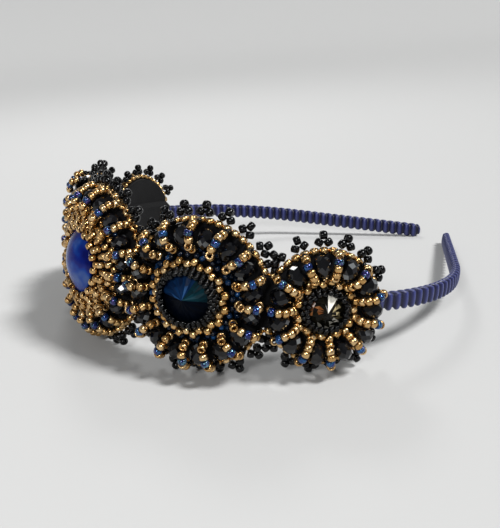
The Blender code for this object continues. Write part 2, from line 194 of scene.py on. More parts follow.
# The pointed stones: how far pleats rise and fall, and the tones of their facets, which are painted
# reflections and painted shade, with set tones for the girdle and the back. Pleats swell most half way down
# and are shallower at the girdle
PLEAT_RIDGE = 0.00022
PLEAT_VALLEY = -0.00005
PLEAT_SWELL = 2.2
PLEAT_EASING = 1.4
SHARD_DISORDER = 0.25
CUT_GIRDLE = 0.0004
CULET_HEIGHT = 0.0006
GIRDLE_TONE = 0.2
BACK_TONE = 0.1
PETROL_PLEATS = {"pleats": 14, "shards": 2}
SMOKE_PLEATS = {"pleats": 10, "shards": 4}
# Tones of the petrol stone: painted shade near black at the low end, painted reflections in blue higher up,
# and teal at the top end.
PETROL_STOPS = [(0.0, (0.0004, 0.0010, 0.003)), (0.12, (0.0006, 0.002, 0.006)), (0.26, (0.002, 0.009, 0.032)),
                (0.50, (0.004, 0.022, 0.072)), (0.56, (0.012, 0.060, 0.170)), (0.70, (0.001, 0.009, 0.014)),
                (1.0, (0.004, 0.030, 0.042))]
# Tones of the smoke stone: dark smoky glass and rust, and cream to near white at the top end, which are
# painted reflections.
SMOKE_STOPS = [(0.0, (0.001, 0.001, 0.0007)), (0.34, (0.008, 0.007, 0.004)), (0.50, (0.05, 0.04, 0.02)),
               (0.58, (0.14, 0.045, 0.011)), (0.64, (0.20, 0.08, 0.028)), (0.74, (0.24, 0.23, 0.20)),
               (0.82, (0.34, 0.27, 0.14)), (1.0, (0.80, 0.77, 0.68))]

# The wound cord: one turn each pitch, straight over the outer face and slanting behind it
CORD_PITCH = 0.00292
CORD_RIDGE = 0.00080
CORD_SHARE = 0.72
CORD_STEPS = 12
CORD_SIDES = 32
CORD_END = 0.9995
CORD_FLATNESS = 1.9
CORD_HOOK = [(0.24, 0.0), (0.62, 0.55), (1.38, 0.75), (1.76, 1.0)]
TIP_ROUNDING = 0.0022
LEAST_TIP = 0.02

# The table, with the backdrop that it curves up into
FLOOR_REACH = 20.0
BACKDROP_START = 1.3
BACKDROP_RADIUS = 0.9
BACKDROP_HEIGHT = 3.0
BACKDROP_STEPS = 12

# The studio: an even sky, a soft sun from the upper right, and small soft boxes for the glints
SKY_COLOUR = (0.92, 0.96, 1.0)
SKY_STRENGTH = 0.20
LIGHT_TARGET = (0.02, -0.03, 0.02)
LIGHTS = [
    {"name": "key", "kind": "SUN", "place": (0.33, 0.19, 0.55),
     "looks": {"energy": 3.7, "angle": radians(13)}},
    {"name": "fill", "kind": "AREA", "place": (0.42, -0.48, 0.40), "looks": {"energy": 2.0, "size": 0.13}},
    {"name": "back", "kind": "AREA", "place": (-0.45, 0.15, 0.50), "looks": {"energy": 1.1, "size": 0.15}},
]

# The camera stands at the near side, a little above the headband
CAMERA_PLACE = FRONT_PLACE + Vector((0.19605, -0.06895, 0.06935))
CAMERA_HEADING = radians(31.03)
CAMERA_PITCH = radians(20.01)
CAMERA_ROLL = radians(-3.78)
SENSOR_WIDTH = 36.0
FOCAL_PIXELS = 705.3
LONG_SIDE_PIXELS = 528


def band_point(along):
    """Place (x, y) and heading of the band's middle line on its +X side."""
    x = y = heading = 0.0
    for length, curvature in BAND_ARCS:
        step = min(along, length)
        turned = heading + curvature * step
        if curvature:
            x += (sin(turned) - sin(heading)) / curvature
            y += (cos(heading) - cos(turned)) / curvature
        else:
            x += cos(heading) * step
            y += sin(heading) * step
        heading = turned
        along -= step
        if along <= 0:
            break
    return x, y, heading


def base_to_band(along):
    """Distance along the band's middle line for a distance along the base's outer face."""
    done = 0.0
    for length, curvature in BAND_ARCS:
        stretch = 1 + curvature * BASE_FACE
        if along <= length * stretch:
            return done + along / stretch
        along -= length * stretch
        done += length
    return done


def band_to_base(along):
    """Distance along the base's outer face for a distance along the band's middle line."""
    done = 0.0
    for length, curvature in BAND_ARCS:
        step = min(along, length)
        done += step * (1 + curvature * BASE_FACE)
        along -= step
    return done


def round_band(along, across, out):
    """A place round the band: along its middle line, up across it, and out from it."""
    side = -1 if along < 0 else 1
    x, y, heading = band_point(abs(along))
    return REST @ Vector((side * (x + sin(heading) * out), y - cos(heading) * out, across))


def bend(along, across, height):
    """A place on the flat layout, bent round the band. Heights count from the base's outer face."""
    side = -1 if along < 0 else 1
    return round_band(side * base_to_band(abs(along)), across, BASE_FACE + height)


def medallion_frame(along):
    """The flat layout's axes at a medallion's middle, for what is too stiff to bend."""
    middle = bend(along, 0, 0)
    tangent = (bend(along + NUDGE, 0, 0) - bend(along - NUDGE, 0, 0)).normalized()
    outward = (bend(along, 0, 2 * NUDGE) - middle).normalized()
    up = outward.cross(tangent)
    return Matrix.Translation(middle) @ Matrix((tangent, up, outward)).transposed().to_4x4()


def medallions():
    """Each medallion's name, sizes, and place along the base's outer face."""
    rows = [("centre", CENTRE, 0.0)]
    for side_name, side in (("left", -1), ("right", 1)):
        rows.append((side_name + "_inner", INNER, side * band_to_base(INNER["along"])))
        rows.append((side_name + "_outer", OUTER, side * band_to_base(OUTER["along"])))
    return rows


def first_spoke(sizes, place):
    """The angle of a medallion's first spoke, mirrored on the other side."""
    return pi - sizes["first_spoke"] if place < 0 else sizes["first_spoke"]


def rim_arcs(offset, end_half_width):
    """Upper outline of the joined discs from +X to -X: arcs of (centre, radius, start, stop)."""
    row = sorted(((place, sizes["edge"] + offset) for _, sizes, place in medallions()), reverse=True)
    fillet = max(VALLEY_RADIUS - offset, LEAST_VALLEY_RADIUS)
    valleys = []
    for (place, radius), (other_place, other_radius) in zip(row, row[1:]):
        distance = other_place - place
        reach = radius + fillet
        along = (distance ** 2 + reach ** 2 - (other_radius + fillet) ** 2) / (2 * distance)
        valleys.append((place + along, sqrt(reach ** 2 - along ** 2)))
    arcs = []
    for index, (place, radius) in enumerate(row):
        start = asin(end_half_width / radius)
        stop = pi - start
        if index > 0:
            x, y = valleys[index - 1]
            start = atan2(y, x - place)
        if index < len(valleys):
            x, y = valleys[index]
            stop = atan2(y, x - place)
        arcs.append(((place, 0), radius, start, stop))
        if index < len(valleys):
            next_place = row[index + 1][0]
            arcs.append(((x, y), fillet, atan2(-y, place - x), atan2(-y, next_place - x)))
    return arcs


def outline(offset, end_half_width, pitch):
    """Evenly spaced places on the upper outline, each with its outward direction."""
    fine = []
    for (x, y), radius, start, stop in rim_arcs(offset, end_half_width):
        steps = max(6, round(radius * abs(stop - start) / OUTLINE_STEP))
        inward = -1 if stop < start else 1
        for step in range(steps):
            angle = start + (stop - start) * step / steps
            out_x = cos(angle)
            out_y = sin(angle)
            fine.append((x + radius * out_x, y + radius * out_y, inward * out_x, inward * out_y))
    lengths = [0.0]
    for here, following in zip(fine, fine[1:]):
        lengths.append(lengths[-1] + hypot(following[0] - here[0], following[1] - here[1]))
    count = round(lengths[-1] / pitch)
    wanted = [lengths[-1] * (index + 0.5) / count for index in range(count)]
    table = np.array(fine)
    return [tuple(np.interp(length, lengths, table[:, column]) for column in range(4)) for length in wanted]


def new_material(name, colour, roughness, metallic=0.0, **inputs):
    """A material with one shader, whose other inputs are named with _ for a space."""
    made = bpy.data.materials.new(name)
    made.use_nodes = True
    shader = shader_of(made)
    shader.inputs["Base Color"].default_value = (*colour, 1.0)
    shader.inputs["Roughness"].default_value = roughness
    shader.inputs["Metallic"].default_value = metallic
    for key, value in inputs.items():
        shader.inputs[key.replace("_", " ")].default_value = value
    return made


def add_node(made, kind, **values):
    """A node with the values of its inputs, or else of its own settings."""
    node = made.node_tree.nodes.new(kind)
    for key, value in values.items():
        if key in node.inputs:
            node.inputs[key].default_value = value
        else:
            setattr(node, key, value)
    return node


def link(made, source, target):
    made.node_tree.links.new(source, target)


def shader_of(made):
    return made.node_tree.nodes["Principled BSDF"]


def add_ramp(made, source, stops):
    """A colour ramp of (place, colour) on a value."""
    ramp = add_node(made, "ShaderNodeValToRGB")
    elements = ramp.color_ramp.elements
    for index, (place, colour) in enumerate(stops):
        element = elements[index] if index < 2 else elements.new(place)
        element.position = place
        element.color = (*colour, 1.0)
    link(made, source, ramp.inputs["Fac"])
    return ramp


def tone_colours(made, stops):
    """Base colour from each bead's or facet's own tone."""
    tone = add_node(made, "ShaderNodeAttribute", attribute_name="tone")
    ramp = add_ramp(made, tone.outputs["Fac"], stops)
    link(made, ramp.outputs["Color"], shader_of(made).inputs["Base Color"])
    return ramp


def add_bump(made, height, distance, strength=1.0):
    bump = add_node(made, "ShaderNodeBump", Distance=distance, Strength=strength)
    link(made, height, bump.inputs["Height"])
    link(made, bump.outputs["Normal"], shader_of(made).inputs["Normal"])


def noise(made, scale, detail=4.0, roughness=0.6):
    place = add_node(made, "ShaderNodeTexCoord")
    pattern = add_node(made, "ShaderNodeTexNoise", Scale=scale, Detail=detail, Roughness=roughness)
    link(made, place.outputs["Object"], pattern.inputs["Vector"])
    return pattern


def rough_range(made, pattern, low, high):
    """Roughness that varies with a pattern, between two values."""
    span = add_node(made, "ShaderNodeMapRange")
    span.inputs["To Min"].default_value = low
    span.inputs["To Max"].default_value = high
    link(made, pattern.outputs["Fac"], span.inputs["Value"])
    link(made, span.outputs["Result"], shader_of(made).inputs["Roughness"])


def gold_material():
    made = new_material("gold beads", (0.60, 0.38, 0.16), roughness=0.26, metallic=1.0)
    tone_colours(made, [(0.0, (0.48, 0.28, 0.10)), (0.5, (0.60, 0.38, 0.16)), (1.0, (0.70, 0.49, 0.25))])
    wear = noise(made, scale=2400, detail=3.0)
    rough_range(made, wear, 0.18, 0.34)
    add_bump(made, wear.outputs["Fac"], distance=0.00002, strength=0.4)
    return made


def blue_material():
    """Rainbow-coated glass: deep blue that turns to violet and turquoise over each bead."""
    made = new_material("blue rainbow beads", (0.05, 0.12, 0.60), roughness=0.08, metallic=0.65,
                        Coat_Weight=0.3, Coat_Roughness=0.04)
    ramp = tone_colours(made, [(0.0, (0.004, 0.006, 0.04)), (0.28, (0.008, 0.022, 0.15)),
                               (0.50, (0.02, 0.12, 0.27)), (0.62, (0.006, 0.014, 0.09)),
                               (0.82, (0.06, 0.04, 0.18)), (1.0, (0.10, 0.30, 0.36))])
    tone = ramp.inputs["Fac"].links[0].from_socket
    sheen = noise(made, scale=760, detail=2.0)
    shift = add_node(made, "ShaderNodeMath", operation="MULTIPLY_ADD")
    colour_turns = 1.7
    shift.inputs[1].default_value = colour_turns
    link(made, sheen.outputs["Fac"], shift.inputs[0])
    link(made, tone, shift.inputs[2])
    wrap = add_node(made, "ShaderNodeMath", operation="FRACT")
    link(made, shift.outputs["Value"], wrap.inputs[0])
    link(made, wrap.outputs["Value"], ramp.inputs["Fac"])
    return made


def jet_material():
    made = new_material("jet glass", (0.0008, 0.0008, 0.0011), roughness=0.04, Specular_IOR_Level=0.26)
    rough_range(made, noise(made, scale=900, detail=2.0), 0.02, 0.06)
    return made


def rondelle_material():
    made = new_material("cut jet", (0.002, 0.002, 0.003), roughness=0.03, Specular_IOR_Level=0.40)
    # Painted glints: a few facets at random are light grey on the black glass.
    tone_colours(made, [(0.0, (0.001, 0.001, 0.0014)), (0.86, (0.003, 0.003, 0.004)),
                        (0.93, (0.02, 0.02, 0.022)), (1.0, (0.15, 0.16, 0.165))])
    return made


def petrol_bead_material():
    made = new_material("petrol beads", (0.01, 0.06, 0.16), roughness=0.10, Specular_IOR_Level=0.35)
    # Painted glints: a few beads at random are bright azure; the rest are near black.
    tone_colours(made, [(0.0, (0.001, 0.003, 0.009)), (0.80, (0.002, 0.012, 0.036)),
                        (0.92, (0.006, 0.05, 0.16)), (1.0, (0.02, 0.16, 0.48))])
    return made


def royal_material():
    """Cloudy royal blue glass with milky swirls."""
    made = new_material("royal blue stone", (0.02, 0.06, 0.42), roughness=0.16, Specular_IOR_Level=0.18)
    clouds = noise(made, scale=150, detail=2.0, roughness=0.45)
    stops = [(0.36, (0.001, 0.004, 0.095)), (0.47, (0.002, 0.012, 0.17)), (0.57, (0.002, 0.040, 0.26)),
             (0.72, (0.05, 0.100, 0.28))]
    ramp = add_ramp(made, clouds.outputs["Fac"], stops)
    link(made, ramp.outputs["Color"], shader_of(made).inputs["Base Color"])
    rough_range(made, clouds, 0.10, 0.26)
    return made


def cut_stone_material(name, stops, roughness, ior):
    """Foiled glass: each facet takes its own colour from its tone."""
    made = new_material(name, stops[0][1], roughness, IOR=ior)
    tone_colours(made, stops)
    return made


def cord_material():
    """Satin cord: painted shade dark between the turns, a painted sheen bright along their backs, with fine
    filaments.
    """
    made = new_material("satin cord", (0.022, 0.030, 0.150), roughness=0.38,
                        Sheen_Weight=0.22, Sheen_Roughness=0.35)
    shader_of(made).inputs["Sheen Tint"].default_value = (0.35, 0.42, 0.95, 1.0)
    place = add_node(made, "ShaderNodeUVMap")
    parts = add_node(made, "ShaderNodeSeparateXYZ")
    link(made, place.outputs["UV"], parts.inputs["Vector"])
    turn = add_node(made, "ShaderNodeMath", operation="PINGPONG")
    half_turn = 0.5
    turn.inputs[1].default_value = half_turn
    link(made, parts.outputs["X"], turn.inputs[0])
    strands = add_node(made, "ShaderNodeTexNoise", Scale=1.0, Detail=3.0, Roughness=0.6)
    stretch = add_node(made, "ShaderNodeMapping", Scale=(22.0, 2.4, 1.0))
    link(made, place.outputs["UV"], stretch.inputs["Vector"])
    link(made, stretch.outputs["Vector"], strands.inputs["Vector"])
    mixed = add_node(made, "ShaderNodeMath", operation="MULTIPLY_ADD")
    strand_share = 0.30
    mixed.inputs[1].default_value = strand_share
    link(made, strands.outputs["Fac"], mixed.inputs[0])
    link(made, turn.outputs["Value"], mixed.inputs[2])
    # Painted shade in the furrows between the turns, and painted sheen along their backs.
    stops = [(0.22, (0.0018, 0.0020, 0.013)), (0.40, (0.007, 0.009, 0.055)), (0.56, (0.018, 0.023, 0.115)),
             (0.70, (0.046, 0.060, 0.210))]
    ramp = add_ramp(made, mixed.outputs["Value"], stops)
    link(made, ramp.outputs["Color"], shader_of(made).inputs["Base Color"])
    add_bump(made, strands.outputs["Fac"], distance=0.00010, strength=0.6)
    return made


def suede_material(name, dark, light, nap_scale):
    """A matt nap of fine fibres, for the felt and the suede."""
    made = new_material(name, dark, roughness=0.95,
                        Sheen_Weight=0.05, Sheen_Roughness=0.6, Specular_IOR_Level=0.1)
    nap = noise(made, nap_scale, detail=6.0, roughness=0.7)
    ramp = add_ramp(made, nap.outputs["Fac"], [(0.25, dark), (0.75, light)])
    link(made, ramp.outputs["Color"], shader_of(made).inputs["Base Color"])
    add_bump(made, nap.outputs["Fac"], distance=0.0002, strength=0.6)
    return made


def bead_template(sides, steps, hole):
    """Verts and quads of a round bead of radius 1 and half length 1, with its hole along Z."""
    middle = (1 + hole) / 2
    wall = (1 - hole) / 2
    verts = []
    for side in range(sides):
        angle = 2 * pi * side / sides
        for step in range(steps):
            turn = 2 * pi * step / steps
            radius = middle + wall * cos(turn)
            height = abs(sin(turn)) ** BEAD_FULLNESS * (1 if sin(turn) > 0 else -1)
            verts.append((radius * cos(angle), radius * sin(angle), height))
    faces = []
    for side in range(sides):
        for step in range(steps):
            here = side * steps
            following = (side + 1) % sides * steps
            up = (step + 1) % steps
            faces.append((here + step, following + step, following + up, here + up))
    return np.array(verts), np.array(faces)


def rondelle_template(sides):
    """A cut bead: flat rhombic facets round its middle, kites above and below, and a hole."""
    half = pi / sides
    belt_radius = cos(half)
    shoulder_radius = 1 - (1 - belt_radius * cos(half)) * RONDELLE_SHOULDER / RONDELLE_BELT
    # Each ring is (radius, height, whether it is turned by half a facet)
    rings = [(RONDELLE_HOLE, -RONDELLE_FACE, 1), (shoulder_radius, -RONDELLE_SHOULDER, 1),
             (belt_radius, -RONDELLE_BELT, 0), (1.0, 0.0, 1), (belt_radius, RONDELLE_BELT, 0),
             (shoulder_radius, RONDELLE_SHOULDER, 1), (RONDELLE_HOLE, RONDELLE_FACE, 1)]
    verts = []
    for radius, height, turned in rings:
        for side in range(sides):
            angle = 2 * half * side + turned * half
            verts.append((radius * cos(angle), radius * sin(angle), height))

    def at(ring, side):
        return ring * sides + side % sides

    faces = []
    for side in range(sides):
        after = side + 1
        before = side - 1
        faces.append((at(2, side), at(3, side), at(4, side), at(3, before)))
        faces.append((at(3, side), at(4, after), at(5, side), at(4, side)))
        faces.append((at(3, side), at(2, side), at(1, side), at(2, after)))
        faces.append((at(4, side), at(5, side), at(5, before), at(5, before)))
        faces.append((at(2, side), at(1, before), at(1, side), at(1, side)))
        faces.append((at(5, side), at(5, after), at(6, after), at(6, side)))
        faces.append((at(1, side), at(0, side), at(0, after), at(1, after)))
        faces.append((at(6, side), at(6, after), at(0, after), at(0, side)))
    return np.array(verts), np.array(faces)


SEED = bead_template(sides=14, steps=10, hole=0.42)
FINE_SEED = bead_template(sides=10, steps=8, hole=0.30)
ROUND_SEED = bead_template(sides=14, steps=10, hole=0.22)
RONDELLE = rondelle_template(sides=9)


class Beads:
    """Many beads of one kind, joined into one mesh with a tone for each bead or facet."""

    def __init__(self, name, template, material, slot, smooth=True):
        self.name = name
        self.template = template
        self.material = material
        self.slot = slot
        self.smooth = smooth
        self.placed = []

    def add(self, centre, axis, size):
        """Places a bead with its hole along the axis."""
        self.placed.append((centre, axis, size, random.random()))

    def build(self, *replaced):
        """Makes the mesh, each bead turned at random about its hole."""
        verts, faces = self.template
        points = []
        tones = []
        for centre, axis, (radius, half_length), tone in self.placed:
            axis = axis.normalized()
            first = axis.cross(SLANTED).normalized()
            second = axis.cross(first)
            spin = random.random() * 2 * pi
            across = cos(spin) * first + sin(spin) * second
            upwards = axis.cross(across)
            turned = np.array([across * radius, upwards * radius, axis * half_length])
            points.append(verts @ turned + np.array(centre))
            if self.smooth:
                tones.append(np.full(len(faces), tone))
            else:
                tones.append(np.array([random.random() for _ in faces]))
        corners = np.concatenate([faces + len(verts) * index for index in range(len(self.placed))])
        mesh = bpy.data.meshes.new(self.name)
        without_repeats = [tuple(dict.fromkeys(face)) for face in corners.tolist()]
        mesh.from_pydata(np.concatenate(points).tolist(), [], without_repeats)
        mesh.polygons.foreach_set("use_smooth", [self.smooth] * len(mesh.polygons))
        tone_layer = mesh.attributes.new("tone", "FLOAT", "FACE")
        tone_layer.data.foreach_set("value", np.concatenate(tones))
        return place_piece(self.name, mesh, self.material, self.slot, *replaced)


def place_piece(name, mesh, material, slot, *replaced):
    """Puts a mesh in the scene as a piece that may stand for nodes of the model."""
    obj = bpy.data.objects.new(name, mesh)
    bpy.context.scene.collection.objects.link(obj)
    mesh.materials.append(material)
    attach(obj, "root")
    if replaced:
        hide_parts(*replaced)
    return obj


def mesh_of(bm, name, place):
    """A stiff piece's mesh, moved from its medallion's own axes to where the medallion is."""
    mesh = bpy.data.meshes.new(name)
    bm.to_mesh(mesh)
    bm.free()
    mesh.transform(medallion_frame(place))
    return mesh


def wobble(amount):
    """A small random shift, which turns an axis that it is added to."""
    return Vector([random.uniform(-amount, amount) for _ in range(3)])


def polar(place, angle, radius, height):
    """A place round a medallion's middle."""
    return bend(place + radius * cos(angle), radius * sin(angle), height)


def spoke_reach(sizes, place, angle):
    """How far a spoke goes out: less where it points at the next medallion."""
    clearance = BEAD[0] * 1.1
    reach = sizes["reach"]
    for _, other, other_place in medallions():
        towards = other_place - place
        if towards * cos(angle) <= 0:
            continue
        own_rim = sizes["ring"] + sizes["rondelle"][0]
        other_rim = other["ring"] + other["rondelle"][0]
        border = own_rim + (abs(towards) - own_rim - other_rim) / 2
        reach = min(reach, (border - clearance) / abs(cos(angle)))
    return reach


def bead_spokes(sizes, place, gold, blue, jet):
    """Strings of beads that arch out over the rondelles and come down at the rim."""
    kinds = {"G": gold, "B": blue, "J": jet}
    for index in range(sizes["spokes"]):
        angle = first_spoke(sizes, place) + 2 * pi * index / sizes["spokes"]
        angle += random.uniform(-SPOKE_STRAY, SPOKE_STRAY)
        reach = spoke_reach(sizes, place, angle)
        lift = random.uniform(-SPOKE_DISORDER, SPOKE_DISORDER)
        slip = random.uniform(-SPOKE_DISORDER, SPOKE_DISORDER)
        for letter, radius, height, rise in sizes["spoke"]:
            out = min(radius + slip, reach)
            up = height + lift - (radius + slip - out)
            if up < SPOKE_FLOOR:
                break
            turned = angle + random.uniform(-SPOKE_DISORDER, SPOKE_DISORDER) / out
            centre = polar(place, turned, out, up)
            slope = radians(rise + random.uniform(-SPOKE_TILT, SPOKE_TILT))
            axis = polar(place, turned, out + NUDGE * cos(slope), up + NUDGE * sin(slope)) - centre
            size = SMALL_BEAD if letter == "J" else BEAD
            kinds[letter].add(centre, axis + wobble(BEAD_WOBBLE) * axis.length, size)


def bead_round(beads, place, size, count, radius, height,
               offset=0.0, slant=0.0, waver=0.0, lift=0.0, stray=0.0):
    """A round of beads whose holes follow the circle.

    Beads lean by the slant, and stand out by the waver and up by the lift, in turns one way and the other.
    A round with more stray places also has more stray turns.
    """
    swing = BEAD_WOBBLE + STRAY_TURN * stray
    for index in range(count):
        angle = 2 * pi * (index + offset) / count + random.uniform(-ROUND_STRAY, ROUND_STRAY)
        sign = 1 if index % 2 else -1
        out = radius + sign * waver + random.uniform(-stray, stray)
        up = height + sign * lift + random.uniform(-stray, stray)
        centre = polar(place, angle, out, up)
        tangent = polar(place, angle + ROUND_STEP, out, up) - polar(place, angle - ROUND_STEP, out, up)
        outward = polar(place, angle, out + 2 * NUDGE, up) - centre
        axis = tangent.normalized() + outward.normalized() * slant * sign + wobble(swing)
        beads.add(centre, axis, size)


def build_rondelles(name, sizes, place, material):
    """A ring of cut beads strung round the medallion, one between each two spokes."""
    beads = Beads(name + "_rondelles", RONDELLE, material, "jet", smooth=False)
    radius, length = sizes["rondelle"]
    for index in range(sizes["spokes"]):
        angle = first_spoke(sizes, place) + 2 * pi * (index + 0.5) / sizes["spokes"]
        centre = polar(place, angle, sizes["ring"], RONDELLE_HEIGHT)
        axis = polar(place, angle + ROUND_STEP, sizes["ring"], RONDELLE_HEIGHT) - centre
        beads.add(centre, axis + wobble(BEAD_WOBBLE) * axis.length, (radius, length / 2))
    beads.build(name + "_facet_beads")


def build_dome(name, sizes, place, material):
    """The smooth middle stone: a low pointed dome above its girdle."""
    bm = bmesh.new()
    radius = sizes["stone"]
    girdle = sizes["girdle"]
    top = bm.verts.new((0, 0, girdle + sizes["crown"]))
    rows = [(share * radius, girdle + height * sizes["crown"]) for share, height in DOME_PROFILE[1:]]
    rows.append((radius, girdle - DOME_GIRDLE))
    rows.append((radius * DOME_BACK["share"], girdle - DOME_BACK["depth"]))
    rings = []
    for out, height in rows:
        ring = []
        for side in range(DOME_SIDES):
            angle = 2 * pi * side / DOME_SIDES
            ring.append(bm.verts.new((out * cos(angle), out * sin(angle), height)))
        rings.append(ring)
    for side in range(DOME_SIDES):
        after = (side + 1) % DOME_SIDES
        bm.faces.new((top, rings[0][side], rings[0][after]))
        for inner, outer in zip(rings, rings[1:]):
            bm.faces.new((inner[side], outer[side], outer[after], inner[after]))
    back = bm.faces.new(list(reversed(rings[-1])))
    for face in bm.faces:
        face.smooth = face != back
    mesh = mesh_of(bm, name + "_cut_stone", place)
    place_piece(name + "_cut_stone", mesh, material, "centre_stone", name + "_stone")


def build_cut_stone(name, sizes, place, material, tone_of, pleats, shards):
    """A pointed stone: narrow pleats from its point to its girdle, each with its own tones.

    A pleat is cut across into shards, whose tones are painted reflected light and painted shade.
    """
    bm = bmesh.new()
    radius = sizes["stone"]
    girdle = sizes["girdle"]
    tone = bm.faces.layers.float.new("tone")
    tip = bm.verts.new((0, 0, girdle + sizes["crown"]))
    culet = bm.verts.new((0, 0, CULET_HEIGHT))
    rows = []
    for index in range(2 * pleats):
        angle = pi * index / pleats
        raised = PLEAT_RIDGE if index % 2 else PLEAT_VALLEY
        column = []
        for step in range(1, shards + 1):
            share = step / shards
            if step < shards:
                share += random.uniform(-SHARD_DISORDER, SHARD_DISORDER) / shards
            pleat = raised * share * (PLEAT_SWELL - PLEAT_EASING * share)
            height = girdle + sizes["crown"] * (1 - share) + pleat
            column.append(bm.verts.new((radius * share * cos(angle), radius * share * sin(angle), height)))
        low = bm.verts.new((radius * cos(angle), radius * sin(angle), girdle - CUT_GIRDLE))
        rows.append((column, low))
    for index, (column, low) in enumerate(rows):
        next_column, next_low = rows[(index + 1) % len(rows)]
        angle = pi * (index + 0.5) / pleats
        bm.faces.new((tip, column[0], next_column[0]))[tone] = tone_of(angle, 0)
        for step in range(shards - 1):
            corners = (column[step], column[step + 1], next_column[step + 1])
            bm.faces.new(corners)[tone] = tone_of(angle, step + 1)
            corners = (column[step], next_column[step + 1], next_column[step])
            bm.faces.new(corners)[tone] = tone_of(angle, step + 1)
        bm.faces.new((column[-1], low, next_low, next_column[-1]))[tone] = GIRDLE_TONE
        bm.faces.new((low, culet, next_low))[tone] = BACK_TONE
    bmesh.ops.recalc_face_normals(bm, faces=bm.faces)
    mesh = mesh_of(bm, name + "_cut_stone", place)
    slot = name.split("_")[-1] + "_stone"
    place_piece(name + "_cut_stone", mesh, material, slot, name + "_stone")


def petrol_tone(angle, step):
    """Painted light and shade: lit blue pleats above and to the left, a lit teal fan to the right, near black
    painted shade below, and a painted glint on the tip.
    """
    turned = degrees(angle) % 360
    # Painted shade: the pleats below are near black.
    if turned > 186 or turned < 2:
        return random.uniform(0.0, 0.10)
    # Painted reflection: the teal fan to the right.
    if turned < 62:
        return random.uniform(0.70, 1.0)
    # Painted reflection: the blue pleats above and to the left, with a painted glint on the shards at the
    # tip, a little lighter.
    return random.uniform(0.26, 0.50) + 0.06 * (step == 0)


def smoke_tone(angle, step):
    """Smoky glass with painted reflections: one painted highlight pleat above, painted cream reflections
    among the shards to the right, rust to the left, and a few pale painted glints below.
    """
    turned = degrees(angle) % 360
    # Painted highlight: one near white pleat above.
    if 62 < turned < 84:
        return 1.0
    # Painted reflections: cream shards among the dark ones to the right.
    if turned < 62 or turned > 330:
        return random.choice((0.02, 0.15, 0.30, 0.50, 0.82))
    if 135 < turned < 200 and step > 0:
        return random.choice((0.02, 0.15, 0.30, 0.58, 0.63))
    # Painted glints: a few pale shards below.
    if turned > 240 and step > 1:
        return random.choice((0.0, 0.10, 0.20, 0.74))
    return random.uniform(0.0, 0.34)


def build_petrol_fall(sizes, place, petrol):
    """Small beads that fall away from the collar between each two spokes."""
    for index in range(sizes["spokes"]):
        middle = 2 * pi * (index + 0.5) / sizes["spokes"]
        for row in sizes["petrol_fall"]:
            angle = middle + row["turn"] + random.uniform(-PETROL_STRAY, PETROL_STRAY)
            centre = polar(place, angle, row["radius"], row["height"])
            out = row["radius"] + PETROL_SLANT["out"]
            ahead = polar(place, angle + PETROL_SLANT["turn"], out, row["height"])
            petrol.add(centre, ahead - centre, SMALL_BEAD)


def build_stone(name, sizes, place, looks):
    """The stone of a medallion: a smooth dome in the middle, and pleated stones on both sides."""
    kind = name.split("_")[-1]
    if kind == "centre":
        build_dome(name, sizes, place, looks["royal"])
    elif kind == "inner":
        build_cut_stone(name, sizes, place, looks["petrol_stone"], petrol_tone, **PETROL_PLEATS)
    else:
        build_cut_stone(name, sizes, place, looks["smoke"], smoke_tone, **SMOKE_PLEATS)


def build_medallion(name, sizes, place, looks):
    """The spokes, bezel, collar, stone and rondelles of one medallion."""
    gold = Beads(name + "_gold_beads", SEED, looks["gold"], "gold")
    blue = Beads(name + "_blue_beads", SEED, looks["blue"], "inner_stone")
    petrol = Beads(name + "_petrol_beads", FINE_SEED, looks["petrol"], "inner_stone")
    jet = Beads(name + "_bezel_beads", FINE_SEED, looks["jet"], "jet")
    bead_spokes(sizes, place, gold, blue, jet)
    for index, (count, radius, height) in enumerate(sizes["bezel"]):
        bead_round(jet, place, SMALL_BEAD, count, radius, height, offset=0.5 * (index % 2), **BEZEL_LOOKS)
    for row in sizes["gold_rounds"]:
        bead_round(gold, place, BEAD, **row)
    for row in sizes["petrol_rounds"]:
        bead_round(petrol, place, SMALL_BEAD, **row)
    build_petrol_fall(sizes, place, petrol)
    build_stone(name, sizes, place, looks)
    if jet.placed:
        gold.build(name + "_bead_spokes")
        jet.build(name + "_bezel")
    else:
        gold.build(name + "_bead_spokes", name + "_bezel")
    if petrol.placed:
        petrol.build()
    blue.build()
    build_rondelles(name, sizes, place, looks["rondelle"])


def picot_place(row, side, lean, reach, spread):
    """A place on a picot: out from the outline at its lean, and aside by its spread."""
    along, across, out_along, out_across = row
    out = reach * cos(lean)
    return bend(along + out_along * out - out_across * spread,
                side * (across + out_across * out + out_along * spread),
                EDGE_HEIGHT - reach * sin(lean))


